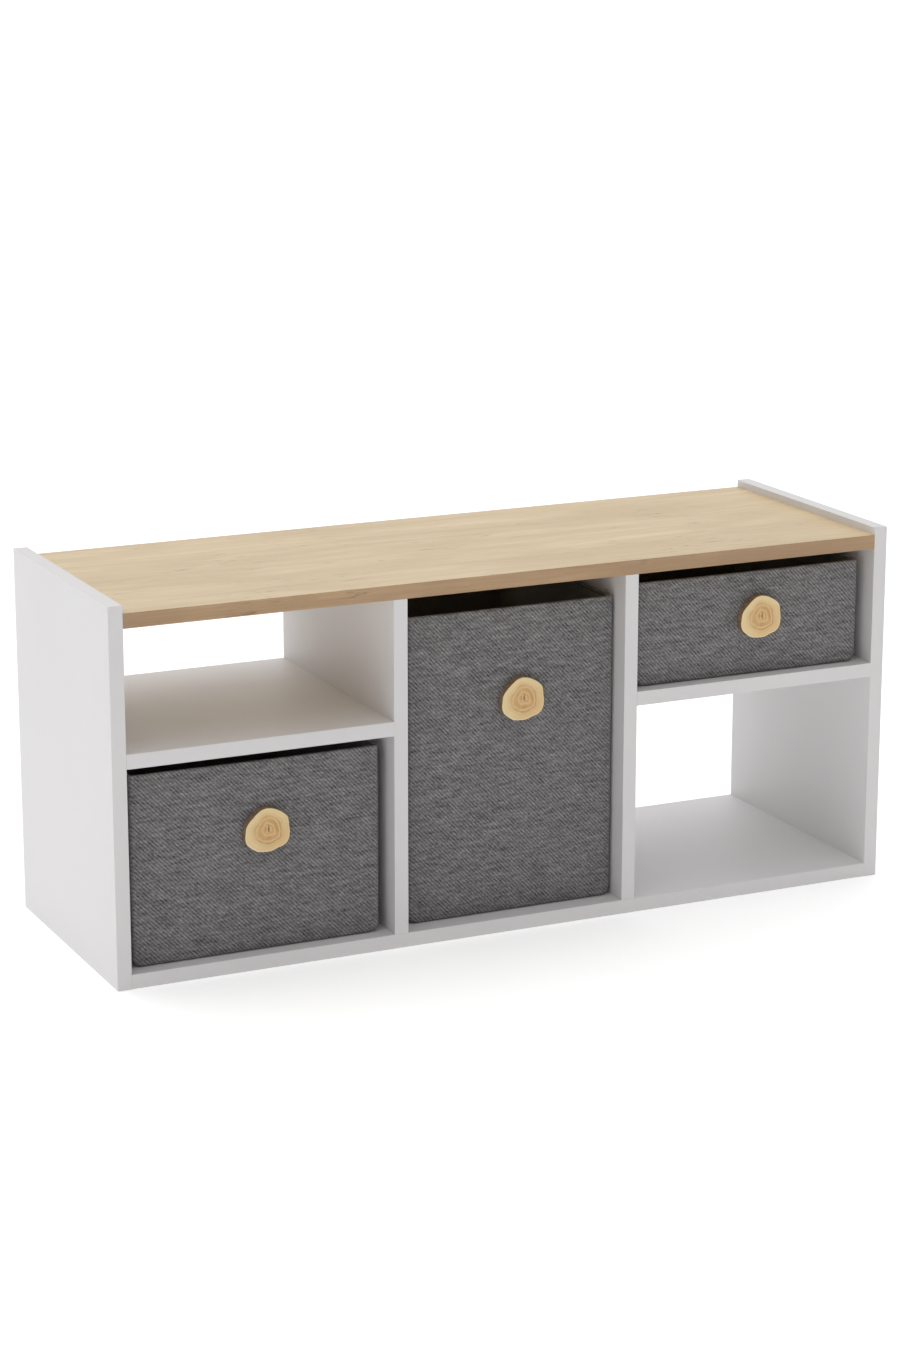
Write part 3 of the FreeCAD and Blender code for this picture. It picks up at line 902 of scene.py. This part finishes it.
class Slice:
    """Mesh of one tree slice, loop by loop from its pith to its bark. Places are taken from the
    centre of its back."""

    # Places of the two looks among the mesh's materials
    face_look = 0
    bark_look = 1

    def __init__(self, thickness, radii):
        self.thickness = thickness
        self.radii = radii
        self.points = [pith_place - Vector((0.0, thickness, 0.0))]
        self.rings = [0.0]
        self.faces = []
        self.face_looks = []
        self.loop = None
        self.make_face_and_edge()
        self.make_bark()

    def make_face_and_edge(self):
        mean_radius = sum(self.radii) / len(self.radii)
        face_reach = 1 - slice_edge_radius / mean_radius
        for ring in range(1, slice_face_rings + 1):
            share = face_reach * ring / slice_face_rings
            self.add_loop(share, self.thickness, 0.0, self.face_look)
        for step in range(1, slice_edge_steps + 1):
            angle = math.pi / 2 * step / slice_edge_steps
            share = face_reach + (1 - face_reach) * math.sin(angle)
            depth = self.thickness - slice_edge_radius * (1 - math.cos(angle))
            self.add_loop(share, depth, step / slice_edge_steps, self.face_look)

    def make_bark(self):
        side_depth = self.thickness - slice_edge_radius
        for row in range(1, slice_side_rows + 1):
            self.add_loop(1.0, side_depth * (1 - row / slice_side_rows), 1.0, self.bark_look)
        self.faces.append(tuple(reversed(self.loop)))
        self.face_looks.append(self.face_look)

    def groove(self, spot):
        """0 to 1 at a spot of the bark, in grooves that run through the slice."""
        waves = Vector((spot.x * slice_bark_waves_round, spot.y * slice_bark_waves_through,
                        spot.z * slice_bark_waves_round))
        return unit_noise(waves + Vector((slice_bark_seed,) * 3))

    def add_loop(self, share, depth, roughness, look_index):
        """One closed loop at a share of the way from the pith to the outline, joined to the last one."""
        loop = []
        for sector, radius in enumerate(self.radii):
            angle = 2 * math.pi * sector / slice_sectors
            arm = Vector((math.cos(angle), 0.0, math.sin(angle)))
            groove = self.groove(arm * radius - Vector((0.0, depth, 0.0)))
            place = pith_place + (arm * radius - pith_place) * share
            place -= arm * (slice_bark_depth * roughness * groove)
            relief = 0.0
            if look_index == self.face_look:
                relief = slice_face_relief * noise.noise(place * slice_face_waves)
            self.points.append(place + Vector((0.0, relief - depth, 0.0)))
            self.rings.append(share)
            loop.append(len(self.points) - 1)
        for sector in range(slice_sectors):
            beside = (sector + 1) % slice_sectors
            if self.loop:
                self.faces.append((self.loop[sector], loop[sector], loop[beside], self.loop[beside]))
            else:
                self.faces.append((0, loop[sector], loop[beside]))
            self.face_looks.append(look_index)
        self.loop = loop


def make_knob(bin_name):
    centre, thickness, radii = slice_outline(bin_name)
    shape = Slice(thickness, radii)
    name = bin_name + "_tree_slice"
    mesh = bpy.data.meshes.new(name)
    mesh.from_pydata([centre + point for point in shape.points], [], shape.faces)
    mesh.attributes.new("ring", "FLOAT", "POINT").data.foreach_set("value", shape.rings)
    places = [value for point in shape.points for value in point]
    mesh.attributes.new("slice", "FLOAT_VECTOR", "POINT").data.foreach_set("vector", places)
    mesh.materials.append(looks["tree_slice"])
    mesh.materials.append(looks["bark"])
    mesh.polygons.foreach_set("material_index", shape.face_looks)
    mesh.shade_smooth()
    piece = added(name, mesh)
    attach(piece, bin_name)
    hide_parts(bin_name + "_knob")


# Studio

def make_floor():
    look = Look("pale_floor", Base_Color=floor_colour, Roughness=0.9, Specular_IOR_Level=0.1,
                Emission_Color=light_colour, Emission_Strength=floor_glow)
    mesh = bpy.data.meshes.new("floor")
    half = floor_half_size
    mesh.from_pydata([(-half, -half, 0), (half, -half, 0), (half, half, 0), (-half, half, 0)], [],
                     [(0, 1, 2, 3)])
    mesh.materials.append(look.material)
    floor = added("floor", mesh)


def make_light():
    world = bpy.data.worlds.new("studio")
    world.use_nodes = True
    studio = Nodes(world.node_tree)
    way = studio.node("TexCoord").outputs["Generated"]
    light = 0.0
    for side, strength in light_lobes:
        aim = Vector(side).normalized()
        facing = studio.node("VectorMath", {0: way, 1: aim}, operation="DOT_PRODUCT").outputs["Value"]
        lobe = studio.math("POWER", studio.math("MAXIMUM", facing, 0.0), lobe_power)
        light = studio.math("ADD", studio.math("MULTIPLY", lobe, strength), light)
    background = world.node_tree.nodes["Background"]
    background.inputs["Color"].default_value = light_colour
    studio.feed(background.inputs["Strength"], light)
    bpy.context.scene.world = world


def make_camera():
    data = bpy.data.cameras.new("photo_view")
    data.sensor_width = camera_sensor
    data.lens = camera_focal_pixels * camera_sensor / photo_height
    camera = added("photo_view", data)
    camera.location = camera_place
    camera.rotation_euler = Euler((math.pi / 2 - camera_pitch, 0.0, -camera_yaw))
    bpy.context.scene.camera = camera


bpy.context.scene.view_settings.view_transform = "Standard"
dress_cad_nodes()
for number, bin_name in enumerate(bin_names):
    make_cover(bin_name, bin_seed_step * number + cover_seed)
    make_lining(bin_name, bin_seed_step * number + lining_seed)
    make_knob(bin_name)
make_floor()
make_light()
make_camera()
